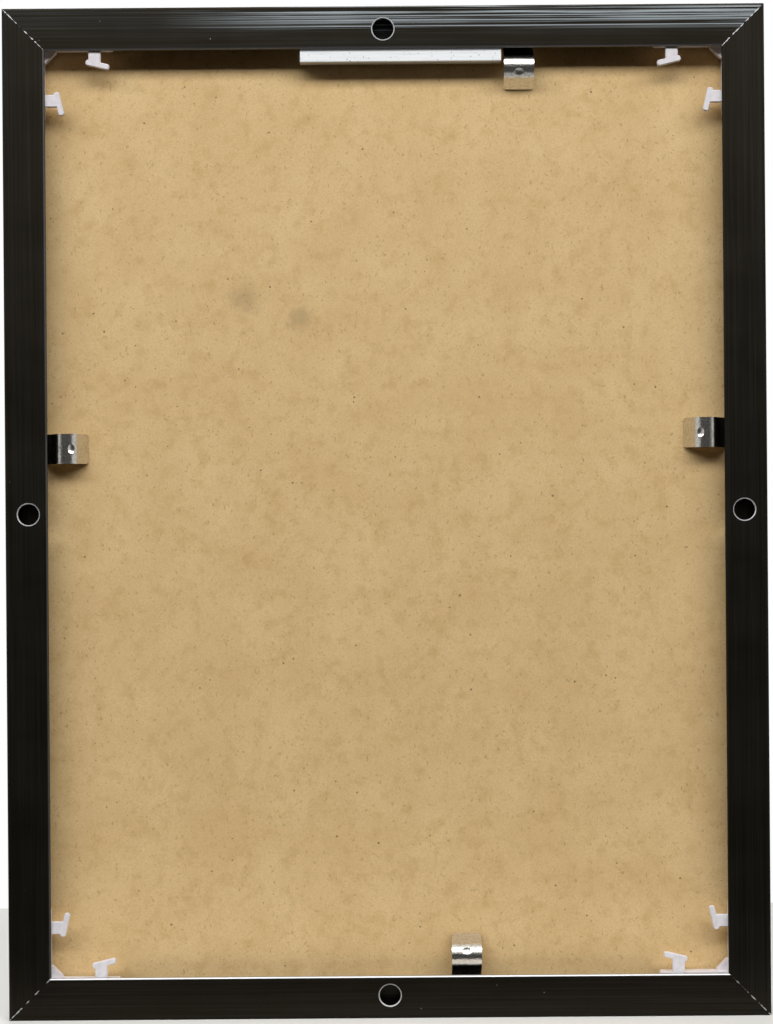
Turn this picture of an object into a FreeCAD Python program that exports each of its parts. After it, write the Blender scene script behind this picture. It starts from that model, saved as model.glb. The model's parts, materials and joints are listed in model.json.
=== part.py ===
import FreeCAD, Part
import math
import os

# Aluminium profile picture frame for a 30 x 40 cm picture, standing as it is seen from behind.
# X runs to the right and Z upwards as seen from behind. Y runs through the thickness,
# with the back at -Y and the glazed front at +Y. The origin is the middle of the frame.
# All lengths are in millimetres.
#
# A rail, a clip and the hanger bar are first drawn as they lie on the bottom side:
# x along the side from its middle, z (called inset) from the outer face inwards,
# and y (called depth) from the rear plane towards the front. Then they are turned to their side.

Vector = FreeCAD.Vector

# Boards
board_width = 300.0
board_height = 400.0
board_play = 1.1
board_seat_gap = 0.1
backing_thickness = 2.5
sheet_thickness = 0.3
glazing_thickness = 2.0

# Rail profile
wall_thickness = 1.4
flange_thickness = 1.4
flange_width = 17.0
key_channel_depth = 6.3
ledge_width = 13.2
ledge_thickness = 1.0
backing_gap = 0.7
lip_width = 8.5
lip_thickness = 1.6
outer_edge_radius = 0.8
nose_radius = 0.9
small_edge_radius = 0.3

# Hanging hole in the middle of each rear flange
hole_radius = 4.25
hole_inset = 9.25
hole_bevel = 0.25

# Running clearance of everything that slides in the profile
sliding_gap = 0.1

# Corner keys
key_arm_length = 44.0
key_recess = 0.7
key_plate_thickness = 2.0
key_wall = 1.6
key_outer_radius = 1.5
key_end_radius = 1.0
gusset_leg = 4.0
gusset_drop = 2.5
bottom_right_key_lift = 1.0

# Tab on each key arm, measured along the arm from the frame's inner corner and out from the flange
tab_thickness = 1.8
tab_neck_start = 17.4
tab_neck_width = 4.9
tab_foot_heel = 16.3
tab_foot_toe = 25.7
tab_foot_width = 2.3
tab_heel_reach = 4.6
tab_toe_reach = 6.3
tab_corner_radius = 0.9
tab_edge_bevel = 0.3

# Spring clips
clip_width = 12.0
clip_thickness = 0.5
clip_reach = 15.3
clip_slope = math.radians(55.0)
clip_ridge_reach = 7.0
clip_ridge_depth = 1.4
clip_ridge_radius = 5.8
clip_bend_radius = 2.25
clip_foot_cover = 11.0
clip_corner_radius = 0.8
dimple_radius = 1.9
dimple_depth = 0.4
dimple_reach = 9.4
clip_offset = {"bottom": 30.9, "left": 26.3, "right": 31.1, "top": 54.5}

# Hanger bar
hanger_length = 80.6
hanger_middle = 7.0
hanger_show = 5.2
hanger_thickness = 1.2
hanger_lip_depth = 5.0
hanger_edge_radius = 0.4

# How far a cutting shape runs past what it cuts
overrun = 2.0

# Levels through the thickness, from the rear plane
channel_floor = flange_thickness + key_channel_depth
ledge_front = channel_floor + ledge_thickness
backing_rear = ledge_front + backing_gap
sheet_rear = backing_rear + backing_thickness
glazing_rear = sheet_rear + sheet_thickness
lip_rear = glazing_rear + glazing_thickness
total_depth = lip_rear + lip_thickness

outer_width = board_width + 2 * (board_play + wall_thickness)
outer_height = board_height + 2 * (board_play + wall_thickness)

# Each side: the turn that brings it from the bottom, its length, how far its outer face lies from
# the middle, and which way the drawn x runs along the frame's own X or Z
side_turn = {"bottom": math.radians(0), "left": math.radians(90), "right": math.radians(-90),
             "top": math.radians(180)}
side_length = {"bottom": outer_width, "left": outer_height, "right": outer_height, "top": outer_width}
side_distance = {"bottom": outer_height / 2, "left": outer_width / 2, "right": outer_width / 2,
                 "top": outer_height / 2}
side_direction = {"bottom": 1, "left": -1, "right": 1, "top": -1}


def rounded_face(corners):
    """Face inside a flat outline. Each corner is its point and the radius that rounds it."""
    enters = []
    leaves = []
    edges = []
    for index, (point, radius) in enumerate(corners):
        to_last = (corners[index - 1][0] - point).normalize()
        to_next = (corners[(index + 1) % len(corners)][0] - point).normalize()
        half_angle = to_last.getAngle(to_next) / 2
        enters.append(point + to_last * (radius / math.tan(half_angle)))
        leaves.append(point + to_next * (radius / math.tan(half_angle)))
        if radius > 0:
            bisector = (to_last + to_next).normalize()
            middle = point + bisector * (radius / math.sin(half_angle) - radius)
            edges.append(Part.Arc(enters[-1], middle, leaves[-1]).toShape())
    for index, leave in enumerate(leaves):
        enter = enters[(index + 1) % len(enters)]
        edges.append(Part.LineSegment(leave, enter).toShape())
    return Part.Face(Part.Wire(Part.__sortEdges__(edges)))


def profile_face(x, corners):
    """Face across a side at x. Each corner is inset, depth and radius."""
    return rounded_face([(Vector(x, depth, inset), radius) for inset, depth, radius in corners])


def plan_solid(corners, rear, front):
    """Solid between two depths from an outline seen from behind. Each corner is x, z and radius."""
    face = rounded_face([(Vector(x, rear, z), radius) for x, z, radius in corners])
    return face.extrude(Vector(0, front - rear, 0))


def turned(shape, side):
    """Bring a shape drawn on the bottom side to its own side of the frame."""
    placed = shape.copy()
    placed.translate(Vector(0, -total_depth / 2, -side_distance[side]))
    placed.rotate(Vector(0, 0, 0), Vector(0, 1, 0), math.degrees(side_turn[side]))
    return placed


def rail(length):
    """One mitred length of the profile, with its hanging hole."""
    section = profile_face(-length / 2, [
        (0, 0, outer_edge_radius),
        (flange_width, 0, nose_radius),
        (flange_width, flange_thickness, small_edge_radius),
        (wall_thickness, flange_thickness, 0),
        (wall_thickness, channel_floor, 0),
        (wall_thickness + ledge_width, channel_floor, 0),
        (wall_thickness + ledge_width, ledge_front, 0),
        (wall_thickness, ledge_front, 0),
        (wall_thickness, lip_rear, 0),
        (lip_width, lip_rear, small_edge_radius),
        (lip_width, total_depth, small_edge_radius),
        (0, total_depth, outer_edge_radius),
    ])
    bar = section.extrude(Vector(length, 0, 0))
    low = -overrun
    high = flange_width + overrun
    mitres = plan_solid([
        (-length / 2 + low, low, 0),
        (length / 2 - low, low, 0),
        (length / 2 - high, high, 0),
        (-length / 2 + high, high, 0),
    ], -overrun, total_depth + overrun)
    centre = Vector(0, -overrun, hole_inset)
    hole = Part.makeCylinder(hole_radius, flange_thickness + 2 * overrun, centre, Vector(0, 1, 0))
    bevel = Part.makeCone(hole_radius + hole_bevel, hole_radius, hole_bevel,
                          Vector(0, 0, hole_inset), Vector(0, 1, 0))
    return bar.common(mitres).cut(hole).cut(bevel)


def key_outline(margin):
    """L seen from behind, on the bottom left corner, drawn in by a margin all round."""
    outer = wall_thickness + sliding_gap + margin
    inner = flange_width - key_recess - margin
    end = key_arm_length - margin
    return [
        (outer, outer, key_outer_radius),
        (end, outer, key_end_radius),
        (end, inner, key_end_radius),
        (inner, inner, 0),
        (inner, end, key_end_radius),
        (outer, end, key_end_radius),
    ]


def key_tab():
    """Tab of the arm along the bottom: a neck out of the flange and a slanted foot across it."""
    plate_rear = flange_thickness + sliding_gap
    neck = plan_solid([
        (flange_width + tab_neck_start, flange_width - key_wall, 0),
        (flange_width + tab_neck_start + tab_neck_width, flange_width - key_wall, 0),
        (flange_width + tab_neck_start + tab_neck_width, flange_width + tab_toe_reach, 0),
        (flange_width + tab_neck_start, flange_width + tab_heel_reach, 0),
    ], plate_rear, plate_rear + tab_thickness)
    half_width = tab_foot_width / 2
    heel = Vector(flange_width + tab_foot_heel + half_width, 0, flange_width + tab_heel_reach)
    toe = Vector(flange_width + tab_foot_toe - half_width, 0, flange_width + tab_toe_reach)
    along = (toe - heel).normalize() * half_width
    across = Vector(-along.z, 0, along.x)
    corners = [heel - along - across, toe + along - across, toe + along + across, heel - along + across]
    foot = plan_solid([(corner.x, corner.z, tab_corner_radius) for corner in corners],
                      plate_rear, plate_rear + tab_thickness)
    tab = neck.fuse(foot).removeSplitter()
    shown_edges = [edge for edge in tab.Edges
                   if edge.BoundBox.YMax < plate_rear + tab_edge_bevel
                   and edge.BoundBox.ZMax > flange_width]
    return tab.makeChamfer(tab_edge_bevel, shown_edges)


def corner_key():
    """Moulded corner key on the bottom left corner: two hollow arms, a gusset and two tabs."""
    plate_rear = flange_thickness + sliding_gap
    arm_front = channel_floor - sliding_gap
    arms = plan_solid(key_outline(0), plate_rear, arm_front)
    hollow = plan_solid(key_outline(key_wall), plate_rear + key_plate_thickness, arm_front + overrun)
    root = flange_width - key_recess - key_wall
    gusset = plan_solid([
        (root, root, 0),
        (flange_width + gusset_leg, root, 0),
        (flange_width + gusset_leg, flange_width, 0),
        (flange_width, flange_width + gusset_leg, 0),
        (root, flange_width + gusset_leg, 0),
    ], plate_rear + gusset_drop, arm_front)
    tab = key_tab()
    diagonal = Vector(1, 0, -1)
    other_tab = tab.mirror(Vector(0, 0, 0), diagonal)
    key = arms.cut(hollow).multiFuse([gusset, tab, other_tab]).removeSplitter()
    key.translate(Vector(-outer_width / 2, -total_depth / 2, -outer_height / 2))
    return key


def corner_keys():
    """The four keys, which are one moulding turned over for the other corners."""
    bottom_left = corner_key()
    middle = Vector(0, 0, 0)
    bottom_right = bottom_left.mirror(middle, Vector(1, 0, 0))
    top_left = bottom_left.mirror(middle, Vector(0, 0, 1))
    top_right = bottom_right.mirror(middle, Vector(0, 0, 1))
    bottom_right.translate(Vector(0, 0, bottom_right_key_lift))
    return {
        "corner_key_bottom_left": bottom_left,
        "corner_key_bottom_right": bottom_right,
        "corner_key_top_left": top_left,
        "corner_key_top_right": top_right,
    }


def strip_face(x, bends):
    """Face of a bent strip across a side at x. Each bend is inset, depth and its outer radius."""
    points = [Vector(x, depth, inset) for inset, depth, _ in bends]
    half = clip_thickness / 2
    rear_side = []
    front_side = []
    lines = [(end - start).normalize() for start, end in zip(points, points[1:])]
    for index, (point, (_, _, outer_radius)) in enumerate(zip(points, bends)):
        before = lines[max(index - 1, 0)]
        after = lines[min(index, len(lines) - 1)]
        along = (before + after).normalize()
        rearward = Vector(0, -along.z, along.y)
        reach = half / math.cos(before.getAngle(after) / 2)
        inner_radius = max(outer_radius - clip_thickness, 0)
        is_ridge = before.y < after.y
        rear_side.append((point + rearward * reach, outer_radius if is_ridge else inner_radius))
        front_side.append((point - rearward * reach, inner_radius if is_ridge else outer_radius))
    return rounded_face(rear_side + front_side[::-1])


def spring_clip(offset):
    """Bent strip: its flat foot lies between the ledge and the backing board, its tip on the board.

    The ridge between foot and tip shows, and has the dimple on its inner side.
    """
    half = clip_thickness / 2
    slope = math.tan(clip_slope)
    ridge_inset = flange_width + clip_ridge_reach
    ridge_rise = (clip_ridge_radius - half) * (1 / math.cos(clip_slope) - 1)
    ridge_corner = clip_ridge_depth + half - ridge_rise
    foot_depth = backing_rear - sliding_gap - half
    foot_inset = ridge_inset - (foot_depth - ridge_corner) / slope
    tip_run = flange_width + clip_reach - half * math.sin(clip_slope) - ridge_inset
    x = offset - clip_width / 2
    strip = strip_face(x, [
        (flange_width - clip_foot_cover, foot_depth, 0),
        (foot_inset, foot_depth, clip_bend_radius),
        (ridge_inset, ridge_corner, clip_ridge_radius),
        (ridge_inset + tip_run, ridge_corner + tip_run * slope, 0),
    ]).extrude(Vector(clip_width, 0, 0))

    high = flange_width + clip_reach
    plan = plan_solid([
        (x, 0, 0),
        (x + clip_width, 0, 0),
        (x + clip_width, high, clip_corner_radius),
        (x, high, clip_corner_radius),
    ], -overrun, total_depth)

    axis_point = Vector(x, clip_ridge_depth + clip_ridge_radius, ridge_inset)
    bow = Part.makeCylinder(clip_ridge_radius, clip_width, axis_point, Vector(1, 0, 0))
    tilt = math.asin((dimple_reach - clip_ridge_reach) / clip_ridge_radius)
    outward = Vector(0, -math.cos(tilt), math.sin(tilt))
    surface_point = axis_point + Vector(clip_width / 2, 0, 0) + outward * clip_ridge_radius
    ball_radius = (dimple_radius ** 2 + dimple_depth ** 2) / (2 * dimple_depth)
    ball_centre = surface_point + outward * (ball_radius - dimple_depth)
    bulge = Part.makeSphere(ball_radius + clip_thickness, ball_centre)
    core = Part.makeCylinder(dimple_radius, clip_thickness + dimple_depth,
                             ball_centre - outward * (ball_radius + clip_thickness), outward)
    hollow = Part.makeSphere(ball_radius, ball_centre)
    return strip.common(plan).fuse(bulge.common(core).common(bow)).cut(hollow).removeSplitter()


def hanger_bar():
    """Channel-shaped bar under the top flange. Its taller leg bears on the edge of the ledge."""
    rear = flange_thickness + sliding_gap
    outer = wall_thickness + ledge_width + sliding_gap
    inner = flange_width + hanger_show
    outer_leg_front = backing_rear - sliding_gap
    inner_leg_front = rear + hanger_lip_depth
    section = profile_face(-hanger_middle - hanger_length / 2, [
        (outer, rear, hanger_edge_radius),
        (inner, rear, hanger_edge_radius),
        (inner, inner_leg_front, 0),
        (inner - hanger_thickness, inner_leg_front, 0),
        (inner - hanger_thickness, rear + hanger_thickness, hanger_edge_radius),
        (outer + hanger_thickness, rear + hanger_thickness, hanger_edge_radius),
        (outer + hanger_thickness, outer_leg_front, 0),
        (outer, outer_leg_front, 0),
    ])
    return section.extrude(Vector(hanger_length, 0, 0))


def board(thickness, rear):
    """Flat sheet lying in the rebate, resting on the bottom rail."""
    bottom = -outer_height / 2 + wall_thickness + board_seat_gap
    corner = Vector(-board_width / 2, rear - total_depth / 2, bottom)
    return Part.makeBox(board_width, thickness, board_height, corner)


def build():
    """Every piece under its own name."""
    parts = {}
    for side, length in side_length.items():
        parts["rail_" + side] = turned(rail(length), side)
        parts["clip_" + side] = turned(spring_clip(side_direction[side] * clip_offset[side]), side)
    parts.update(corner_keys())
    parts["hanger_bar"] = turned(hanger_bar(), "top")
    parts["backing_board"] = board(backing_thickness, backing_rear)
    parts["insert_sheet"] = board(sheet_thickness, sheet_rear)
    parts["glazing"] = board(glazing_thickness, glazing_rear)
    return parts


os.makedirs("parts", exist_ok=True)
for name, shape in build().items():
    shape.exportStep("parts/" + name + ".step")
    print(name, "solids", len(shape.Solids), "valid", shape.isValid(), "volume", round(shape.Volume, 1))
print("frame", outer_width, "x", outer_height, "x", total_depth)
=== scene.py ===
# %% [markdown]
# # A 30 x 40 cm aluminium picture frame, seen from behind
#
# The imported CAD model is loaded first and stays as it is: four mitred rails, four corner keys,
# four spring clips, a hanger bar, the backing board, the insert sheet and the glazing.
# Blender's share is the finish of each surface, the light and the camera. Everything is in metres,
# Z is up, and the back of the frame faces -Y, which is where the camera stands.

# %% Load the frame
import json
import math

import bpy
from mathutils import Matrix, Vector


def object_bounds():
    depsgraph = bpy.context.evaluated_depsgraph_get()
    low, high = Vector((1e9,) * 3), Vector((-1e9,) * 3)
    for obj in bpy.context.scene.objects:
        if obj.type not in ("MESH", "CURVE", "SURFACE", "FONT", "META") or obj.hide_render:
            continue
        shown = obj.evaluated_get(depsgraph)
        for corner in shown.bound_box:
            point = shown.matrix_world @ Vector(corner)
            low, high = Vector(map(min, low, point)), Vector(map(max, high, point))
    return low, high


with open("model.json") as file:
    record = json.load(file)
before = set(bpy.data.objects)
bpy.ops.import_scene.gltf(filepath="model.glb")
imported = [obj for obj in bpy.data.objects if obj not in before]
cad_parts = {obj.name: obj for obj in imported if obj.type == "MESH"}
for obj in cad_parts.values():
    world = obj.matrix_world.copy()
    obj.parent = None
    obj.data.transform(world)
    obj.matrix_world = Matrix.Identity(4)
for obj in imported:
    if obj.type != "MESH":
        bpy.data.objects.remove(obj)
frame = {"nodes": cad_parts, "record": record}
cad_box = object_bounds()
MM = 0.001
half_width = cad_box[1].x
half_height = cad_box[1].z
rear_y = cad_box[0].y
print("Frame measures", [round((high - low) / MM, 1) for low, high in zip(*cad_box)], "mm")

# %% [markdown]
# ## Tools for materials
#
# A colour that is given as hex or taken from a chart is an sRGB value, but the shader works in linear
# light, so one function turns a hex colour to linear. One more function adds a node, sets its own
# properties and fills its sockets, each with a plain value or with the output of another node.
# The Mix node has one set of sockets for each kind of data, under the same names, so its sockets
# are picked by number, and the numbers are named here.
# All patterns read the object's own coordinates in millimetres, so that a pattern's size can be
# written as it would be measured with a ruler, and it moves with its piece.

# %% Colour and node helpers
SHARE, NUMBER_A, NUMBER_B, COLOUR_A, COLOUR_B = 0, 2, 3, 6, 7
MIXED_COLOUR = 2


def linear(hex_colour):
    """Linear RGBA of an sRGB hex colour."""
    shares = [int(hex_colour[start:start + 2], 16) / 255 for start in (1, 3, 5)]
    return (*[share / 12.92 if share <= 0.04045 else ((share + 0.055) / 1.055) ** 2.4
              for share in shares], 1.0)


def fill(tree, node, sockets):
    """Give each named socket a value, or link it to another node's output."""
    for socket, value in sockets.items():
        if isinstance(value, bpy.types.NodeSocket):
            tree.links.new(value, node.inputs[socket])
        else:
            node.inputs[socket].default_value = value


def add_node(tree, kind, settings, sockets):
    """Add one node with its settings and links, and return it."""
    node = tree.nodes.new(kind)
    for name, value in settings.items():
        setattr(node, name, value)
    fill(tree, node, sockets)
    return node


def start_material(name):
    """A new material: its node tree, its shader node and coordinates in millimetres."""
    material = bpy.data.materials.new(name)
    material.use_nodes = True
    tree = material.node_tree
    place = add_node(tree, "ShaderNodeTexCoord", {}, {})
    millimetres = add_node(tree, "ShaderNodeVectorMath", {"operation": "SCALE"},
                           {0: place.outputs["Object"], "Scale": 1 / MM})
    return material, tree, tree.nodes["Principled BSDF"], millimetres.outputs[0]


print("A middle grey, #808080, in linear light:", round(linear("#808080")[0], 3))

# %% [markdown]
# ## Black anodised aluminium: where a point lies
#
# The four rails get one finish, but the bare edges, the hole, the painted sheen and the painted nose
# highlight sit at set places on each rail. So the first step measures each point: how far off the frame's
# middle it is both ways, and how far across its rail. An absolute value serves both rails of a pair,
# because the frame is symmetric.

# %% Places on a rail
def places_on_rail(tree, place, runs_along_x):
    """The axes of a point, its place across and along its rail, and where the rail's outer face is."""
    axes = add_node(tree, "ShaderNodeSeparateXYZ", {}, {0: place})
    sideways = add_node(tree, "ShaderNodeMath", {"operation": "ABSOLUTE"}, {0: axes.outputs["X"]})
    upward = add_node(tree, "ShaderNodeMath", {"operation": "ABSOLUTE"}, {0: axes.outputs["Z"]})
    if runs_along_x:
        across, along, outer_edge = upward.outputs[0], axes.outputs["X"], half_height / MM
    else:
        across, along, outer_edge = sideways.outputs[0], axes.outputs["Z"], half_width / MM
    return {"x": axes.outputs["X"], "y": axes.outputs["Y"], "sideways": sideways.outputs[0],
            "upward": upward.outputs[0], "across": across, "along": along, "outer_edge": outer_edge}


print("Outer faces lie", round(half_width / MM, 1), "and", round(half_height / MM, 1), "mm off the middle")

# %% [markdown]
# ## Black anodised aluminium: bare metal and a painted highlight
#
# The dye was put on before the rails were sawn to their mitres and punched, so bare, bright metal
# shows as a thin broken line along each mitre and round each hole. The rounded nose of the flange
# carries a painted highlight in the bare metal's colour, strongest on the bottom rail, whose nose faces
# the lamp above. Each mark is a mask: a distance from a line, a point or an edge, compared with the
# width of the mark. A noise makes the mitre line wax and wane.

# %% Bare metal and painted highlight on a rail
BROKEN_LINE_MM = 0.33
CHIPS_PER_MM = 0.55
HOLE_INSET_MM = 9.25
HOLE_RIM_RADIUS_MM = 4.65
HOLE_RIM_DEPTH_MM = 1.3
FLANGE_WIDTH_MM = 17.0
# Where the painted highlight on the flange's rounded nose starts and is full, and how far it reaches from the
# back
NOSE_START_MM = 0.9
NOSE_FULL_MM = 0.54
NOSE_DEPTH_MM = 1.2


def mitre_line(tree, place, at):
    """1 on a thin broken line along the rail's mitres."""
    corner_offset = (half_height - half_width) / MM
    from_diagonal = add_node(tree, "ShaderNodeMath", {"operation": "SUBTRACT"},
                             {0: at["upward"], 1: at["sideways"]})
    off_mitre = add_node(tree, "ShaderNodeMath", {"operation": "SUBTRACT"},
                         {0: from_diagonal.outputs[0], 1: corner_offset})
    distance = add_node(tree, "ShaderNodeMath", {"operation": "ABSOLUTE"}, {0: off_mitre.outputs[0]})
    chips = add_node(tree, "ShaderNodeTexNoise", {}, {"Vector": place, "Scale": CHIPS_PER_MM, "Detail": 3.0})
    chip_width = add_node(tree, "ShaderNodeMapRange", {"interpolation_type": "SMOOTHSTEP"}, {
        "Value": chips.outputs["Fac"], "From Min": 0.42, "From Max": 0.62,
        "To Min": 0.0, "To Max": BROKEN_LINE_MM})
    line = add_node(tree, "ShaderNodeMath", {"operation": "LESS_THAN"},
                    {0: distance.outputs[0], 1: chip_width.outputs[0]})
    return line.outputs[0]


def hole_rim(tree, at):
    """1 on the bevel and wall of the punched hole."""
    to_centre = add_node(tree, "ShaderNodeMath", {"operation": "SUBTRACT"},
                         {0: at["across"], 1: at["outer_edge"] - HOLE_INSET_MM})
    in_plane = add_node(tree, "ShaderNodeCombineXYZ", {}, {"X": to_centre.outputs[0], "Y": at["along"]})
    distance = add_node(tree, "ShaderNodeVectorMath", {"operation": "LENGTH"}, {0: in_plane.outputs[0]})
    near_hole = add_node(tree, "ShaderNodeMath", {"operation": "LESS_THAN"},
                         {0: distance.outputs["Value"], 1: HOLE_RIM_RADIUS_MM})
    in_flange = add_node(tree, "ShaderNodeMath", {"operation": "LESS_THAN"},
                         {0: at["y"], 1: rear_y / MM + HOLE_RIM_DEPTH_MM})
    rim = add_node(tree, "ShaderNodeMath", {"operation": "MULTIPLY"},
                   {0: near_hole.outputs[0], 1: in_flange.outputs[0]})
    return rim.outputs[0]


def painted_nose_highlight(tree, at, nose_highlight):
    """How strong the painted highlight on the rounded inner edge of the flange is."""
    nose_edge = at["outer_edge"] - FLANGE_WIDTH_MM
    on_nose = add_node(tree, "ShaderNodeMapRange", {"interpolation_type": "SMOOTHSTEP"}, {
        "Value": at["across"], "From Min": nose_edge + NOSE_START_MM, "From Max": nose_edge + NOSE_FULL_MM})
    near_rear = add_node(tree, "ShaderNodeMath", {"operation": "LESS_THAN"},
                         {0: at["y"], 1: rear_y / MM + NOSE_DEPTH_MM})
    nose = add_node(tree, "ShaderNodeMath", {"operation": "MULTIPLY"},
                    {0: on_nose.outputs[0], 1: near_rear.outputs[0]})
    # Painted highlight: the bare metal's colour laid on the nose, as strong as the rail's nose faces the lamp
    wear_and_highlight = add_node(tree, "ShaderNodeMath", {"operation": "MULTIPLY"}, {0: nose.outputs[0], 1: nose_highlight})
    return wear_and_highlight.outputs[0]


def bare_metal_and_highlight(tree, place, at, nose_highlight):
    """The bare mitre line and hole rim, and the painted highlight on the nose, in one mask."""
    cuts = add_node(tree, "ShaderNodeMath", {"operation": "MAXIMUM"},
                    {0: mitre_line(tree, place, at), 1: hole_rim(tree, at)})
    bare_and_highlight = add_node(tree, "ShaderNodeMath", {"operation": "MAXIMUM"},
                    {0: cuts.outputs[0], 1: painted_nose_highlight(tree, at, nose_highlight)})
    return bare_and_highlight.outputs[0]


print("Bare rim of each hole ends", HOLE_RIM_RADIUS_MM, "mm from its centre")

# %% [markdown]
# ## Black anodised aluminium: painted sheen and dust
#
# Paler streaks near the outer edge of the top rail, more to its right, are painted sheen: they stand in
# for the reflection of the lamp on the rail that faces it. Below them run three fine lines that the die
# drew, painted pale with the sheen, so they show on the top rail only. All are stretched noise or
# distances across the rail. Dust is a Voronoi pattern, in which a random value of each cell says whether
# it holds a speck and how large that is.

# %% Painted sheen, wear and dust on a rail
# The die lines and the streaks are painted sheen: pale colour only where the top rail faces the lamp
DIE_LINES_MM = (4.1, 5.9, 8.2)
DIE_LINE_WIDTH_MM = 0.35
DIE_LINE_STRENGTH = 0.9
STREAK_START_MM = 12
STREAK_FULL_MM = 2
# The painted sheen grows from the left of the top rail towards its right
SHEEN_FROM_X_MM = -95
SHEEN_TO_X_MM = -15
SHEEN_LEFT_SHARE = 0.04
FADED_SHARE = 0.03
DUST_SPACING_MM = 6.25
DUST_SIZE_SHARE = 0.05


def sheen_streaks_across(tree, at, broad):
    """Painted sheen: pale streaks towards the outer edge, and the die lines."""
    toward_edge = add_node(tree, "ShaderNodeMapRange", {"interpolation_type": "SMOOTHSTEP"}, {
        "Value": at["across"],
        "From Min": at["outer_edge"] - STREAK_START_MM, "From Max": at["outer_edge"] - STREAK_FULL_MM})
    uneven = add_node(tree, "ShaderNodeMapRange", {"interpolation_type": "SMOOTHSTEP"}, {
        "Value": broad, "From Min": 0.48, "From Max": 0.64})
    sheen = add_node(tree, "ShaderNodeMath", {"operation": "MULTIPLY"},
                      {0: toward_edge.outputs[0], 1: uneven.outputs[0]})
    for die_line in DIE_LINES_MM:
        off_line = add_node(tree, "ShaderNodeMath", {"operation": "SUBTRACT"},
                            {0: at["across"], 1: at["outer_edge"] - die_line})
        distance = add_node(tree, "ShaderNodeMath", {"operation": "ABSOLUTE"}, {0: off_line.outputs[0]})
        on_line = add_node(tree, "ShaderNodeMapRange", {"interpolation_type": "SMOOTHSTEP"}, {
            "Value": distance.outputs[0], "From Min": 0.0, "From Max": DIE_LINE_WIDTH_MM,
            "To Min": DIE_LINE_STRENGTH, "To Max": 0.0})
        sheen = add_node(tree, "ShaderNodeMath", {"operation": "MAXIMUM"},
                          {0: sheen.outputs[0], 1: on_line.outputs[0]})
    return sheen.outputs[0]


def wear_and_highlight(tree, at, broad, lines, sheen_strength):
    """How far the rail is paled: painted sheen as streaks, and real fading a little along every line."""
    # Painted sheen: stronger towards the right of the rail
    sheen_along_x = add_node(tree, "ShaderNodeMapRange", {"interpolation_type": "SMOOTHSTEP"}, {
        "Value": at["x"], "From Min": SHEEN_FROM_X_MM, "From Max": SHEEN_TO_X_MM,
        "To Min": SHEEN_LEFT_SHARE * sheen_strength, "To Max": sheen_strength})
    sheen = add_node(tree, "ShaderNodeMath", {"operation": "MULTIPLY"},
                      {0: sheen_streaks_across(tree, at, broad), 1: sheen_along_x.outputs[0]})
    faded = add_node(tree, "ShaderNodeMapRange", {}, {
        "Value": lines, "From Min": 0.35, "From Max": 0.75, "To Max": FADED_SHARE})
    worn_and_sheen = add_node(tree, "ShaderNodeMath", {"operation": "ADD", "use_clamp": True},
                    {0: sheen.outputs[0], 1: faded.outputs[0]})
    return worn_and_sheen.outputs[0]


def dust_specks(tree, place):
    """1 on a few small specks."""
    specks = add_node(tree, "ShaderNodeTexVoronoi", {}, {"Vector": place, "Scale": 1 / DUST_SPACING_MM})
    chance = add_node(tree, "ShaderNodeSeparateColor", {}, {0: specks.outputs["Color"]})
    reach = add_node(tree, "ShaderNodeMapRange", {}, {
        "Value": chance.outputs[0], "From Min": 0.55, "From Max": 1.0, "To Max": DUST_SIZE_SHARE})
    dust = add_node(tree, "ShaderNodeMath", {"operation": "LESS_THAN"},
                    {0: specks.outputs["Distance"], 1: reach.outputs[0]})
    return dust.outputs[0]


print("Largest dust speck is", round(2 * DUST_SIZE_SHARE * DUST_SPACING_MM, 2), "mm wide")

# %% [markdown]
# ## Black anodised aluminium: the whole finish
#
# The rails are extruded, then etched and anodised, and the pores of the oxide are dyed black. It is
# still a metal surface: it has no colour of its own apart from a dark, slightly warm reflection.
# Extrusion leaves fine lines along the rail, so the noise is stretched along the rail's length.
# One function makes all four rails, because only the direction, the hole's place, the painted sheen and the
# painted nose highlight differ.

# %% Rails
BLACK_DYE = linear("#25211A")
# Pale colour of real fading, and of the painted sheen on the top rail
FADED_DYE_AND_SHEEN = linear("#A0A8AC")
# Colour of the bare metal, also used for the painted highlight on the flange's nose
BARE_ALUMINIUM_AND_HIGHLIGHT = linear("#C9CACC")
DUST = linear("#8C8880")
LINE_SPACING_MM = 0.45
LENGTHWISE_SHARE = 0.006
STREAKS_PER_MM = 1.2
RAIL_CLOUD_MM = 20.0
RAIL_ROUGHNESS = (0.41, 0.49)
LINE_DEPTH_MM = 0.02


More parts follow.
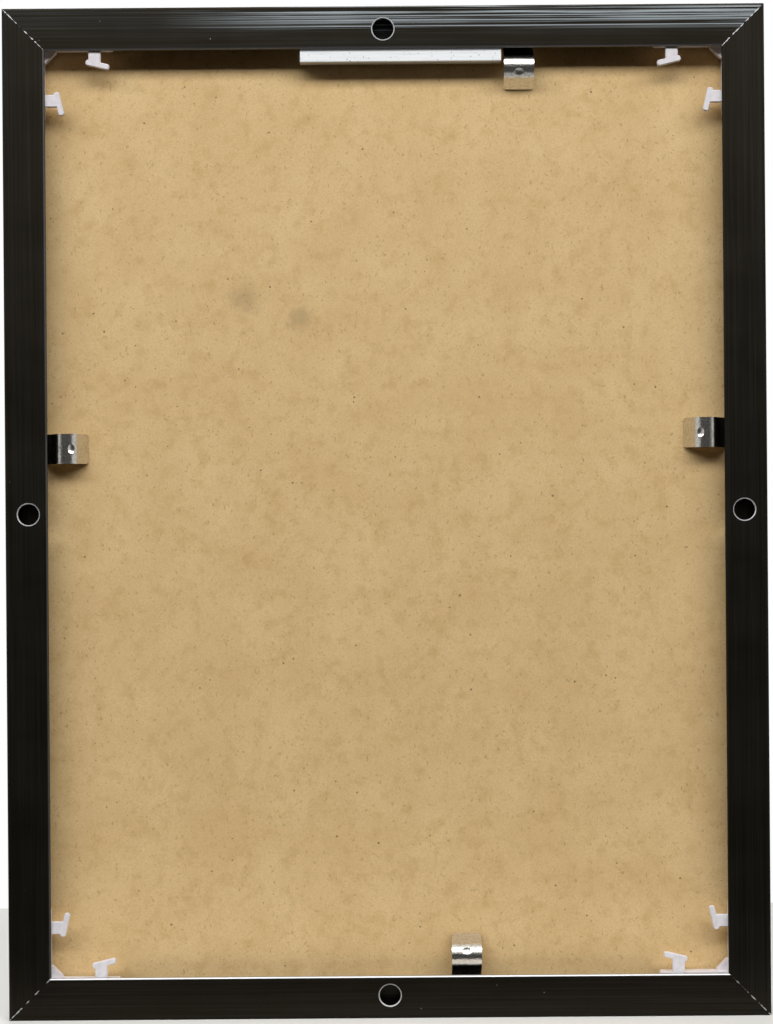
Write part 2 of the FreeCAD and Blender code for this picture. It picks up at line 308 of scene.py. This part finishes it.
def black_anodised_aluminium(name, runs_along_x, sheen_strength, nose_highlight):
    """Extruded rail, black dye, with bare metal at the mitres and round the hole, painted sheen, and a
    painted highlight on the nose.
    """
    material, tree, surface, place = start_material(name)
    at = places_on_rail(tree, place, runs_along_x)
    stretch = (LENGTHWISE_SHARE, 1, 1) if runs_along_x else (1, 1, LENGTHWISE_SHARE)
    drawn = add_node(tree, "ShaderNodeVectorMath", {"operation": "MULTIPLY"}, {0: place, 1: stretch})
    lines = add_node(tree, "ShaderNodeTexNoise", {},
                     {"Vector": drawn.outputs[0], "Scale": 1 / LINE_SPACING_MM, "Detail": 3.0})
    broad = add_node(tree, "ShaderNodeTexNoise", {},
                     {"Vector": drawn.outputs[0], "Scale": STREAKS_PER_MM, "Detail": 3.0, "Roughness": 0.6})
    cloud = add_node(tree, "ShaderNodeTexNoise", {},
                     {"Vector": place, "Scale": 1 / RAIL_CLOUD_MM, "Detail": 4.0})

    worn_and_sheen = wear_and_highlight(tree, at, broad.outputs["Fac"], lines.outputs["Fac"], sheen_strength)
    dyed = add_node(tree, "ShaderNodeMix", {"data_type": "RGBA"},
                    {SHARE: worn_and_sheen, COLOUR_A: BLACK_DYE, COLOUR_B: FADED_DYE_AND_SHEEN})
    dusty = add_node(tree, "ShaderNodeMix", {"data_type": "RGBA"}, {
        SHARE: dust_specks(tree, place), COLOUR_A: dyed.outputs[MIXED_COLOUR], COLOUR_B: DUST})
    colour = add_node(tree, "ShaderNodeMix", {"data_type": "RGBA"}, {
        SHARE: bare_metal_and_highlight(tree, place, at, nose_highlight),
        COLOUR_A: dusty.outputs[MIXED_COLOUR], COLOUR_B: BARE_ALUMINIUM_AND_HIGHLIGHT})
    roughness = add_node(tree, "ShaderNodeMapRange", {}, {
        "Value": cloud.outputs["Fac"], "From Min": 0.3, "From Max": 0.7,
        "To Min": RAIL_ROUGHNESS[0], "To Max": RAIL_ROUGHNESS[1]})
    relief = add_node(tree, "ShaderNodeBump", {}, {
        "Height": lines.outputs["Fac"], "Strength": 0.06, "Distance": LINE_DEPTH_MM * MM})
    fill(tree, surface, {"Base Color": colour.outputs[MIXED_COLOUR], "Metallic": 1.0,
                         "Roughness": roughness.outputs[0], "Normal": relief.outputs[0]})
    return material


rail_finish = {
    # Third value: strength of the painted sheen; fourth: strength of the painted highlight on the nose. Both
    # follow how each rail faces the lamp above.
    "rail_top": black_anodised_aluminium("black anodised aluminium top", True, 1.0, 0.2),
    "rail_bottom": black_anodised_aluminium("black anodised aluminium bottom", True, 0.01, 0.9),
    "rail_left": black_anodised_aluminium("black anodised aluminium left", False, 0.03, 0.12),
    "rail_right": black_anodised_aluminium("black anodised aluminium right", False, 0.01, 0.0),
}
print("Made", len(rail_finish), "rail finishes")

# %% [markdown]
# ## Hardboard: tan, clouds and grain
#
# The backing is thin fibreboard: wood ground to fibres and pressed hot between steel plates. The eye
# sees an even tan sheet with a fine grain and soft clouds where the mat was denser. Each is one noise
# at its own real size, laid over the next.

# %% Colour of the board
BOARD_TAN = linear("#DDBC86")
BOARD_PALE = linear("#E7C892")
BOARD_DARK = linear("#C49E62")
CLOUD_MM = 28.0
MOTTLE_MM = 6.0
GRAIN_MM = 0.55
MOTTLE_STRENGTH = 0.8
GRAIN_STRENGTH = 0.5


def board_colour(tree, place, mottle, grain):
    """Tan board with clouds, mottle and grain."""
    clouds = add_node(tree, "ShaderNodeTexNoise", {},
                      {"Vector": place, "Scale": 1 / CLOUD_MM, "Detail": 4.0, "Roughness": 0.6})
    cloud_share = add_node(tree, "ShaderNodeMapRange", {}, {
        "Value": clouds.outputs["Fac"], "From Min": 0.35, "From Max": 0.65})
    base = add_node(tree, "ShaderNodeMix", {"data_type": "RGBA"},
                    {SHARE: cloud_share.outputs[0], COLOUR_A: BOARD_TAN, COLOUR_B: BOARD_PALE})
    mottle_share = add_node(tree, "ShaderNodeMapRange", {}, {
        "Value": mottle, "From Min": 0.5, "From Max": 0.85, "To Max": MOTTLE_STRENGTH})
    mottled = add_node(tree, "ShaderNodeMix", {"data_type": "RGBA"}, {
        SHARE: mottle_share.outputs[0], COLOUR_A: base.outputs[MIXED_COLOUR], COLOUR_B: BOARD_DARK})
    grain_share = add_node(tree, "ShaderNodeMapRange", {}, {
        "Value": grain, "From Min": 0.4, "From Max": 0.8, "To Max": GRAIN_STRENGTH})
    grained = add_node(tree, "ShaderNodeMix", {"data_type": "RGBA"}, {
        SHARE: grain_share.outputs[0], COLOUR_A: mottled.outputs[MIXED_COLOUR], COLOUR_B: BOARD_DARK})
    return grained.outputs[MIXED_COLOUR]


print("Board has clouds of", CLOUD_MM, "mm, mottle of", MOTTLE_MM, "mm and grain of", GRAIN_MM, "mm")

# %% [markdown]
# ## Hardboard: fibres, spots and smudges
#
# Short darker fibres lie every way, so one stretched noise is laid down three times, turned each
# time. Real fibres are about 0.1 mm wide, too fine for the picture, so they are drawn about 0.4 mm
# wide. Bark leaves small dark spots, and handling has left two grey smudges.

# %% Marks on the board
FIBRE_BROWN = linear("#8E6E3E")
FIBRE_WIDTH_MM = 0.45
FIBRE_STRETCH = 2.6
FIBRE_STRENGTH = 0.45
# Turn of each layer of fibres in radians, and its share of the strength
FIBRE_LAYERS = ((0.0, 1.0), (0.9, 0.8), (-0.8, 0.8))
SPOT_BROWN = linear("#5E4020")
SPOT_SPACING_MM = 4.2
SPOT_RADIUS_MM = 0.55
SPOT_STRENGTH = 0.7
SMUDGE_GREY = linear("#A58A62")
SMUDGE_STRENGTH = 0.5
BOARD_REAR_Y_MM = 1.5
# Place of each smudge as x, z and its reach, in millimetres from the middle of the frame
SMUDGES_MM = [(-56.0, 87.0, 9.0), (-34.0, 78.0, 7.0)]


def with_fibres(tree, place, colour):
    """The colour with three layers of short fibres."""
    for turn, layer_share in FIBRE_LAYERS:
        turned = add_node(tree, "ShaderNodeVectorRotate", {"rotation_type": "Y_AXIS"},
                          {"Vector": place, "Angle": turn})
        drawn = add_node(tree, "ShaderNodeVectorMath", {"operation": "MULTIPLY"},
                         {0: turned.outputs[0], 1: (1, 1, 1 / FIBRE_STRETCH)})
        fibres = add_node(tree, "ShaderNodeTexNoise", {},
                          {"Vector": drawn.outputs[0], "Scale": 0.5 / FIBRE_WIDTH_MM, "Detail": 1.0})
        fibre_share = add_node(tree, "ShaderNodeMapRange", {"interpolation_type": "SMOOTHSTEP"}, {
            "Value": fibres.outputs["Fac"], "From Min": 0.68, "From Max": 0.80,
            "To Max": FIBRE_STRENGTH * layer_share})
        layer = add_node(tree, "ShaderNodeMix", {"data_type": "RGBA"},
                         {SHARE: fibre_share.outputs[0], COLOUR_A: colour, COLOUR_B: FIBRE_BROWN})
        colour = layer.outputs[MIXED_COLOUR]
    return colour


def with_spots(tree, place, colour):
    """The colour with small dark bark spots of random size."""
    spots = add_node(tree, "ShaderNodeTexVoronoi", {}, {"Vector": place, "Scale": 1 / SPOT_SPACING_MM})
    chance = add_node(tree, "ShaderNodeSeparateColor", {}, {0: spots.outputs["Color"]})
    reach = add_node(tree, "ShaderNodeMapRange", {}, {
        "Value": chance.outputs[0], "From Min": 0.6, "From Max": 1.0,
        "To Max": SPOT_RADIUS_MM / SPOT_SPACING_MM})
    inside = add_node(tree, "ShaderNodeMath", {"operation": "SUBTRACT"},
                      {0: reach.outputs[0], 1: spots.outputs["Distance"]})
    spot = add_node(tree, "ShaderNodeMapRange", {}, {
        "Value": inside.outputs[0], "From Min": 0.0, "From Max": 0.03, "To Max": SPOT_STRENGTH})
    spotted = add_node(tree, "ShaderNodeMix", {"data_type": "RGBA"},
                       {SHARE: spot.outputs[0], COLOUR_A: colour, COLOUR_B: SPOT_BROWN})
    return spotted.outputs[MIXED_COLOUR]


def with_smudges(tree, place, mottle, colour):
    """The colour with grey smudges, whose edge the mottle makes ragged."""
    for x, z, reach in SMUDGES_MM:
        offset = add_node(tree, "ShaderNodeVectorMath", {"operation": "DISTANCE"},
                          {0: place, 1: (x, BOARD_REAR_Y_MM, z)})
        ragged = add_node(tree, "ShaderNodeMath", {"operation": "MULTIPLY_ADD"},
                          {0: mottle, 1: 2 * reach, 2: offset.outputs["Value"]})
        smudge = add_node(tree, "ShaderNodeMapRange", {"interpolation_type": "SMOOTHSTEP"}, {
            "Value": ragged.outputs[0], "From Min": reach, "From Max": 2 * reach,
            "To Min": SMUDGE_STRENGTH, "To Max": 0.0})
        smudged = add_node(tree, "ShaderNodeMix", {"data_type": "RGBA"},
                           {SHARE: smudge.outputs[0], COLOUR_A: colour, COLOUR_B: SMUDGE_GREY})
        colour = smudged.outputs[MIXED_COLOUR]
    return colour


print("Board has", len(FIBRE_LAYERS), "layers of fibres and", len(SMUDGES_MM), "smudges")

# %% [markdown]
# ## Hardboard: the whole finish
#
# The mottle and the grain also lift the surface a little, because fibres stand up where the board
# isn't pressed against the plate. Bare board is matt, and wood fibre and its binder have an IOR of
# about 1.5.

# %% Backing board
BOARD_ROUGHNESS = 0.75
BOARD_IOR = 1.5
BOARD_RELIEF_MM = 0.08


def hardboard():
    """Pressed fibreboard: cloud, mottle, grain, fibres, spots and smudges."""
    material, tree, surface, place = start_material("hardboard")
    mottle = add_node(tree, "ShaderNodeTexNoise", {},
                      {"Vector": place, "Scale": 1 / MOTTLE_MM, "Detail": 5.0, "Roughness": 0.65})
    grain = add_node(tree, "ShaderNodeTexNoise", {},
                     {"Vector": place, "Scale": 1 / GRAIN_MM, "Detail": 2.0})
    colour = board_colour(tree, place, mottle.outputs["Fac"], grain.outputs["Fac"])
    colour = with_fibres(tree, place, colour)
    colour = with_spots(tree, place, colour)
    colour = with_smudges(tree, place, mottle.outputs["Fac"], colour)
    height = add_node(tree, "ShaderNodeMath", {"operation": "ADD"},
                      {0: grain.outputs["Fac"], 1: mottle.outputs["Fac"]})
    relief = add_node(tree, "ShaderNodeBump", {}, {
        "Height": height.outputs[0], "Strength": 0.25, "Distance": BOARD_RELIEF_MM * MM})
    fill(tree, surface, {"Base Color": colour, "Roughness": BOARD_ROUGHNESS, "IOR": BOARD_IOR,
                         "Normal": relief.outputs[0]})
    return material


board_finish = hardboard()
print("Hardboard has", len(board_finish.node_tree.nodes), "nodes")

# %% [markdown]
# ## Spring steel
#
# The clips are stamped from bright cold-rolled strip and bent: a flat foot, a high ridge and a tip
# that rests on the board. Rolling leaves a near mirror with very fine lines, so the ridge gathers the
# room into bands: dark where it looks back at the camera, bright where it looks at the light, tan
# where it looks at the board. The finish therefore has little colour of its own and a low roughness,
# with faint ripples and spots from stamping and handling.

# %% Clips
STRIP_STEEL = linear("#DEDAD2")
STAINED_STEEL = linear("#8A857A")
ROLLING_LINE_MM = 0.3
RIPPLE_MM = 0.9
STAIN_STRENGTH = 0.3
STEEL_ROUGHNESS = (0.12, 0.24)
STEEL_RELIEF_MM = 0.045
RIPPLE_TO_LINE_HEIGHT = 3.0


def spring_steel():
    """Bright rolled strip with faint lines, ripples and spots."""
    material, tree, surface, place = start_material("spring steel")
    lines = add_node(tree, "ShaderNodeTexNoise", {},
                     {"Vector": place, "Scale": 1 / ROLLING_LINE_MM, "Detail": 2.0})
    ripples = add_node(tree, "ShaderNodeTexNoise", {},
                       {"Vector": place, "Scale": 1 / RIPPLE_MM, "Detail": 2.0})
    stains = add_node(tree, "ShaderNodeMapRange", {"interpolation_type": "SMOOTHSTEP"}, {
        "Value": ripples.outputs["Fac"], "From Min": 0.45, "From Max": 0.7, "To Max": STAIN_STRENGTH})
    colour = add_node(tree, "ShaderNodeMix", {"data_type": "RGBA"},
                      {SHARE: stains.outputs[0], COLOUR_A: STRIP_STEEL, COLOUR_B: STAINED_STEEL})
    roughness = add_node(tree, "ShaderNodeMapRange", {}, {
        "Value": lines.outputs["Fac"], "From Min": 0.3, "From Max": 0.7,
        "To Min": STEEL_ROUGHNESS[0], "To Max": STEEL_ROUGHNESS[1]})
    height = add_node(tree, "ShaderNodeMath", {"operation": "MULTIPLY_ADD"},
                      {0: ripples.outputs["Fac"], 1: RIPPLE_TO_LINE_HEIGHT, 2: lines.outputs["Fac"]})
    relief = add_node(tree, "ShaderNodeBump", {}, {
        "Height": height.outputs[0], "Strength": 0.7, "Distance": STEEL_RELIEF_MM * MM})
    fill(tree, surface, {"Base Color": colour.outputs[MIXED_COLOUR], "Metallic": 1.0,
                         "Roughness": roughness.outputs[0], "Normal": relief.outputs[0]})
    return material


clip_finish = spring_steel()
print("Clip steel has a roughness of", STEEL_ROUGHNESS[0], "to", STEEL_ROUGHNESS[1])

# %% [markdown]
# ## Mill-finish aluminium
#
# The hanger bar is aluminium as it leaves the mill or the press: pale, soft and rather matt, so it
# spreads the light evenly instead of mirroring it. Fine pits and drawing lines along its length are
# all that shows. The pits are small cells of a Voronoi pattern, kept where a random value is high.

# %% Hanger bar
MILL_ALUMINIUM = linear("#DADCDD")
PIT_GREY = linear("#8E8E90")
PIT_SPACING_MM = 1.1
PIT_SIZE_SHARE = 0.3
PIT_STRENGTH = 0.8
DRAWN_LINE_MM = 0.4
DRAWN_LENGTHWISE_SHARE = 0.02
DRAWN_LINE_STRENGTH = 0.35
DRAWN_LINE_DEPTH_MM = 0.02
MILL_ROUGHNESS = 0.55


def mill_aluminium():
    """Pale matt aluminium with fine pits and drawing lines."""
    material, tree, surface, place = start_material("mill finish aluminium")
    pits = add_node(tree, "ShaderNodeTexVoronoi", {}, {"Vector": place, "Scale": 1 / PIT_SPACING_MM})
    chance = add_node(tree, "ShaderNodeSeparateColor", {}, {0: pits.outputs["Color"]})
    pit_reach = add_node(tree, "ShaderNodeMapRange", {}, {
        "Value": chance.outputs[0], "From Min": 0.45, "From Max": 1.0, "To Max": PIT_SIZE_SHARE})
    pitted = add_node(tree, "ShaderNodeMath", {"operation": "LESS_THAN"},
                      {0: pits.outputs["Distance"], 1: pit_reach.outputs[0]})
    pit_share = add_node(tree, "ShaderNodeMath", {"operation": "MULTIPLY"},
                         {0: pitted.outputs[0], 1: PIT_STRENGTH})
    drawn = add_node(tree, "ShaderNodeVectorMath", {"operation": "MULTIPLY"},
                     {0: place, 1: (DRAWN_LENGTHWISE_SHARE, 1, 1)})
    lines = add_node(tree, "ShaderNodeTexNoise", {},
                     {"Vector": drawn.outputs[0], "Scale": 1 / DRAWN_LINE_MM, "Detail": 3.0})
    line_share = add_node(tree, "ShaderNodeMapRange", {}, {
        "Value": lines.outputs["Fac"], "From Min": 0.45, "From Max": 0.8, "To Max": DRAWN_LINE_STRENGTH})
    lined = add_node(tree, "ShaderNodeMix", {"data_type": "RGBA"},
                     {SHARE: line_share.outputs[0], COLOUR_A: MILL_ALUMINIUM, COLOUR_B: PIT_GREY})
    colour = add_node(tree, "ShaderNodeMix", {"data_type": "RGBA"}, {
        SHARE: pit_share.outputs[0], COLOUR_A: lined.outputs[MIXED_COLOUR], COLOUR_B: PIT_GREY})
    relief = add_node(tree, "ShaderNodeBump", {}, {
        "Height": lines.outputs["Fac"], "Strength": 0.15, "Distance": DRAWN_LINE_DEPTH_MM * MM})
    fill(tree, surface, {"Base Color": colour.outputs[MIXED_COLOUR], "Metallic": 1.0,
                         "Roughness": MILL_ROUGHNESS, "Normal": relief.outputs[0]})
    return material


hanger_finish = mill_aluminium()
print("Hanger bar pits are drawn every", PIT_SPACING_MM, "mm")

# %% [markdown]
# ## Moulded white plastic
#
# The corner keys are injection moulded, most likely in ABS or polyamide, with an IOR of 1.53. The
# skin is semi-matt and faintly uneven, because the tool was spark eroded. The white is a little cool.
# The shader's own gloss and a fine bump give the soft highlight of such a skin.

# %% Corner keys
KEY_WHITE = linear("#EAE6EA")
KEY_SHADE = linear("#DEDADF")
KEY_CLOUDS_PER_MM = 0.45
SKIN_PITS_PER_MM = 3.5
SKIN_DEPTH_MM = 0.03
KEY_ROUGHNESS = (0.42, 0.55)
KEY_IOR = 1.53


def moulded_plastic():
    """Semi-matt white moulding."""
    material, tree, surface, place = start_material("moulded white plastic")
    cloud = add_node(tree, "ShaderNodeTexNoise", {},
                     {"Vector": place, "Scale": KEY_CLOUDS_PER_MM, "Detail": 3.0})
    skin = add_node(tree, "ShaderNodeTexNoise", {},
                    {"Vector": place, "Scale": SKIN_PITS_PER_MM, "Detail": 2.0})
    share = add_node(tree, "ShaderNodeMapRange", {}, {
        "Value": cloud.outputs["Fac"], "From Min": 0.4, "From Max": 0.65})
    colour = add_node(tree, "ShaderNodeMix", {"data_type": "RGBA"},
                      {SHARE: share.outputs[0], COLOUR_A: KEY_WHITE, COLOUR_B: KEY_SHADE})
    roughness = add_node(tree, "ShaderNodeMapRange", {}, {
        "Value": skin.outputs["Fac"], "From Min": 0.3, "From Max": 0.7,
        "To Min": KEY_ROUGHNESS[0], "To Max": KEY_ROUGHNESS[1]})
    relief = add_node(tree, "ShaderNodeBump", {}, {
        "Height": skin.outputs["Fac"], "Strength": 0.15, "Distance": SKIN_DEPTH_MM * MM})
    fill(tree, surface, {"Base Color": colour.outputs[MIXED_COLOUR], "Roughness": roughness.outputs[0],
                         "IOR": KEY_IOR, "Normal": relief.outputs[0]})
    return material


key_finish = moulded_plastic()
print("Key plastic has an IOR of", KEY_IOR)

# %% [markdown]
# ## Insert paper
#
# Behind the glazing lies a plain sheet of uncoated off-white paper, here left bare. Its fibres make a
# faint cloud, which shows more as soft relief than as colour.

# %% Insert sheet
PAPER_WHITE = linear("#F1EEE6")
PAPER_SHADE = linear("#E6E2D8")
PAPER_CLOUDS_PER_MM = 0.6
PAPER_RELIEF_MM = 0.03
PAPER_ROUGHNESS = 0.85
PAPER_IOR = 1.5


def uncoated_paper():
    """Off-white paper with a faint fibre cloud."""
    material, tree, surface, place = start_material("uncoated paper")
    cloud = add_node(tree, "ShaderNodeTexNoise", {},
                     {"Vector": place, "Scale": PAPER_CLOUDS_PER_MM, "Detail": 6.0})
    share = add_node(tree, "ShaderNodeMapRange", {}, {
        "Value": cloud.outputs["Fac"], "From Min": 0.4, "From Max": 0.7})
    colour = add_node(tree, "ShaderNodeMix", {"data_type": "RGBA"},
                      {SHARE: share.outputs[0], COLOUR_A: PAPER_WHITE, COLOUR_B: PAPER_SHADE})
    relief = add_node(tree, "ShaderNodeBump", {}, {
        "Height": cloud.outputs["Fac"], "Strength": 0.1, "Distance": PAPER_RELIEF_MM * MM})
    fill(tree, surface, {"Base Color": colour.outputs[MIXED_COLOUR], "Roughness": PAPER_ROUGHNESS,
                         "IOR": PAPER_IOR, "Normal": relief.outputs[0]})
    return material


paper_finish = uncoated_paper()
print("Insert paper has", len(paper_finish.node_tree.nodes), "nodes")

# %% [markdown]
# ## Glazing
#
# The glazing is clear float glass, with an IOR of 1.52 and the faint green of its iron. It is a closed
# slab, so the light bends in and out again. Handling leaves broad, barely visible smears, drawn as a
# roughness that stays near zero.

# %% Glass
GLASS_TINT = linear("#F4FAF7")
SMEAR_MM = 50.0
GLASS_ROUGHNESS = (0.0, 0.04)
GLASS_IOR = 1.52


def float_glass():
    """Clear float glass with faint smears."""
    material, tree, surface, place = start_material("float glass")
    smears = add_node(tree, "ShaderNodeTexNoise", {}, {"Vector": place, "Scale": 1 / SMEAR_MM, "Detail": 4.0})
    roughness = add_node(tree, "ShaderNodeMapRange", {}, {
        "Value": smears.outputs["Fac"], "From Min": 0.45, "From Max": 0.7,
        "To Min": GLASS_ROUGHNESS[0], "To Max": GLASS_ROUGHNESS[1]})
    fill(tree, surface, {"Base Color": GLASS_TINT, "Roughness": roughness.outputs[0], "IOR": GLASS_IOR,
                         "Transmission Weight": 1.0})
    return material


glass_finish = float_glass()
print("Glass has an IOR of", GLASS_IOR)

# %% [markdown]
# ## Dress the pieces
#
# Each CAD node keeps its shape and takes the finish of its material. The record names a slot for each
# node, and the finish of each slot is looked up here, apart from the rails, which have one each.

# %% Put each finish on its piece
slot_finish = {
    "spring_steel": clip_finish,
    "key_plastic": key_finish,
    "mill_aluminium": hanger_finish,
    "hardboard": board_finish,
    "insert_paper": paper_finish,
    "clear_glass": glass_finish,
}
for part in frame["record"]["subparts"]:
    name = part["node"]
    piece = frame["nodes"][name]
    piece.data.materials.clear()
    piece.data.materials.append(rail_finish.get(name) or slot_finish[part["material_slot"]])

# %% [markdown]
# ## Floor
#
# The frame stands upright on a small pale shelf. It is small on purpose: a wide white floor would
# throw light up at the back of the frame and wash out the shadows under the flanges.

# %% Shelf
SHELF_WHITE = linear("#F2F1EE")
SHELF_ROUGHNESS = 0.9
SHELF_WIDTH = 0.8
SHELF_DEPTH = 0.3
SHELF_FRONT_EDGE = 0.05
bpy.ops.mesh.primitive_plane_add(size=1, location=(0, SHELF_DEPTH / 2 - SHELF_FRONT_EDGE, cad_box[0].z))
floor = bpy.context.object
floor.scale = (SHELF_WIDTH, SHELF_DEPTH, 1)
floor.name = "floor"
floor_material, floor_tree, floor_surface, _ = start_material("pale floor")
fill(floor_tree, floor_surface, {"Base Color": SHELF_WHITE, "Roughness": SHELF_ROUGHNESS})
floor.data.materials.append(floor_material)
print("Shelf lies at", round(cad_box[0].z / MM, 1), "mm")

# %% [markdown]
# ## Surroundings
#
# A camera ray, or one that has passed glass, sees plain white. A matt surface gets a warm and weak
# light from all round. A reflection sees a room instead, which gives the bright metal something to
# mirror: pale side walls, a pale floor far below, a bright side above where the lamp is, and dark
# elsewhere. The room is built from the direction of the ray, with a soft edge to each surface.

# %% World
AMBIENT_STRENGTH = 0.025
AMBIENT_WARM = linear("#FFDDA8")
WHITE = (1, 1, 1, 1)
BACKGROUND_STRENGTH = 1.0
# Where each surface of the room starts and is full, as a share of a ray's direction, and its strength
SIDE_WALL_START, SIDE_WALL_FULL, ROOM_DARK, SIDE_WALL_STRENGTH = 0.62, 0.85, 0.06, 0.6
BELOW_START, BELOW_FULL, BELOW_STRENGTH = -0.62, -0.8, 0.42
LAMP_SIDE_START, LAMP_SIDE_FULL, LAMP_SIDE_STRENGTH = 0.22, 0.45, 1.0

world = bpy.data.worlds.new("studio")
bpy.context.scene.world = world
world.use_nodes = True
sky = world.node_tree
rays = add_node(sky, "ShaderNodeLightPath", {}, {})
direction = add_node(sky, "ShaderNodeTexCoord", {}, {})
split = add_node(sky, "ShaderNodeSeparateXYZ", {}, {0: direction.outputs["Generated"]})
sideways = add_node(sky, "ShaderNodeMath", {"operation": "ABSOLUTE"}, {0: split.outputs["X"]})
side_walls = add_node(sky, "ShaderNodeMapRange", {"interpolation_type": "SMOOTHSTEP"}, {
    "Value": sideways.outputs[0], "From Min": SIDE_WALL_START, "From Max": SIDE_WALL_FULL,
    "To Min": ROOM_DARK, "To Max": SIDE_WALL_STRENGTH})
below = add_node(sky, "ShaderNodeMapRange", {"interpolation_type": "SMOOTHSTEP"}, {
    "Value": split.outputs["Z"], "From Min": BELOW_START, "From Max": BELOW_FULL, "To Max": BELOW_STRENGTH})
lamp_side = add_node(sky, "ShaderNodeMapRange", {"interpolation_type": "SMOOTHSTEP"}, {
    "Value": split.outputs["Z"], "From Min": LAMP_SIDE_START, "From Max": LAMP_SIDE_FULL,
    "To Max": LAMP_SIDE_STRENGTH})
walls = add_node(sky, "ShaderNodeMath", {"operation": "MAXIMUM"},
                 {0: side_walls.outputs[0], 1: below.outputs[0]})
room = add_node(sky, "ShaderNodeMath", {"operation": "MAXIMUM"},
                {0: walls.outputs[0], 1: lamp_side.outputs[0]})
mirrored = add_node(sky, "ShaderNodeMix", {"data_type": "FLOAT"}, {
    SHARE: rays.outputs["Is Glossy Ray"], NUMBER_A: AMBIENT_STRENGTH, NUMBER_B: room.outputs[0]})
seen = add_node(sky, "ShaderNodeMath", {"operation": "MAXIMUM"},
                {0: rays.outputs["Is Camera Ray"], 1: rays.outputs["Is Transmission Ray"]})
strength = add_node(sky, "ShaderNodeMix", {"data_type": "FLOAT"}, {
    SHARE: seen.outputs[0], NUMBER_A: mirrored.outputs[0], NUMBER_B: BACKGROUND_STRENGTH})
tint = add_node(sky, "ShaderNodeMix", {"data_type": "RGBA"}, {
    SHARE: rays.outputs["Is Diffuse Ray"], COLOUR_A: WHITE, COLOUR_B: AMBIENT_WARM})
fill(sky, sky.nodes["Background"],
     {"Color": tint.outputs[MIXED_COLOUR], "Strength": strength.outputs[0]})
print("Matt surfaces get an ambient light of", AMBIENT_STRENGTH)

# %% [markdown]
# ## Key light
#
# A wide, low and soft light hangs above the camera, 46 degrees up. Its shadows fall about as long as
# the recess is deep, as below the top rail. It is much wider than high, so that the shadow's edge is
# soft at the sides and stays fairly sharp below the top flange.

# %% Light on the back
KEY_ANGLE_DEG = 46.0
KEY_DISTANCE = 2.0
KEY_POWER = 86.0
KEY_WIDTH = 6.0
KEY_HEIGHT = 0.55


def hang_light(name, place, power, width, height):
    """An area light that faces the middle of the frame."""
    data = bpy.data.lights.new(name, "AREA")
    data.shape = "RECTANGLE"
    data.size = width
    data.size_y = height
    data.energy = power
    light = bpy.data.objects.new(name, data)
    bpy.context.scene.collection.objects.link(light)
    light.location = place
    light.rotation_euler = (-light.location).to_track_quat("-Z", "Y").to_euler()


key_angle = math.radians(KEY_ANGLE_DEG)
key_place = Vector((0, -math.cos(key_angle), math.sin(key_angle))) * KEY_DISTANCE
hang_light("key", key_place, KEY_POWER, KEY_WIDTH, KEY_HEIGHT)
print("Key light at", [round(v, 2) for v in key_place])

# %% [markdown]
# ## Front light
#
# The glazed side is turned away from the key light, so a second soft light stands there and shows the
# insert sheet. It doesn't reach the back. Glass would stop that light's shadow rays and leave the
# sheet black, so the glazing casts no shadow.

# %% Light on the glazing
FILL_PLACE = Vector((0.0, 1.6, 0.8))
FILL_POWER = 20.0
FILL_SIZE = 1.2
hang_light("front fill", FILL_PLACE, FILL_POWER, FILL_SIZE, FILL_SIZE)
frame["nodes"]["glazing"].visible_shadow = False
print("Fill light stands", round(FILL_PLACE.y, 1), "m before the glazing")

# %% [markdown]
# ## Camera
#
# The photograph was taken square on, with the phone turned by less than half a degree. In the
# picture 2.5 pixels make a millimetre, so the picture is as wide as 773 px divided by that. The
# distance isn't known. At 0.9 m the frame fills a phone's view, and the sides look as they do there.

# %% Camera
PICTURE_WIDTH_PX = 773
PIXELS_PER_MM = 2.501
CAMERA_DISTANCE = 0.9
CAMERA_ROLL_DEG = 0.44
SENSOR_WIDTH_MM = 36.0

camera_data = bpy.data.cameras.new("camera")
camera_data.sensor_fit = "HORIZONTAL"
camera_data.sensor_width = SENSOR_WIDTH_MM
seen_width = PICTURE_WIDTH_PX / PIXELS_PER_MM * MM
camera_data.lens = SENSOR_WIDTH_MM * CAMERA_DISTANCE / seen_width
camera = bpy.data.objects.new("camera", camera_data)
bpy.context.scene.collection.objects.link(camera)
upright = Matrix.Rotation(math.radians(90), 4, "X")
roll = Matrix.Rotation(-math.radians(CAMERA_ROLL_DEG), 4, "Z")
camera.matrix_world = Matrix.Translation((0, rear_y - CAMERA_DISTANCE, 0)) @ upright @ roll
bpy.context.scene.camera = camera
bpy.context.scene.view_settings.view_transform = "Standard"
print("Lens", round(camera_data.lens, 1), "mm")
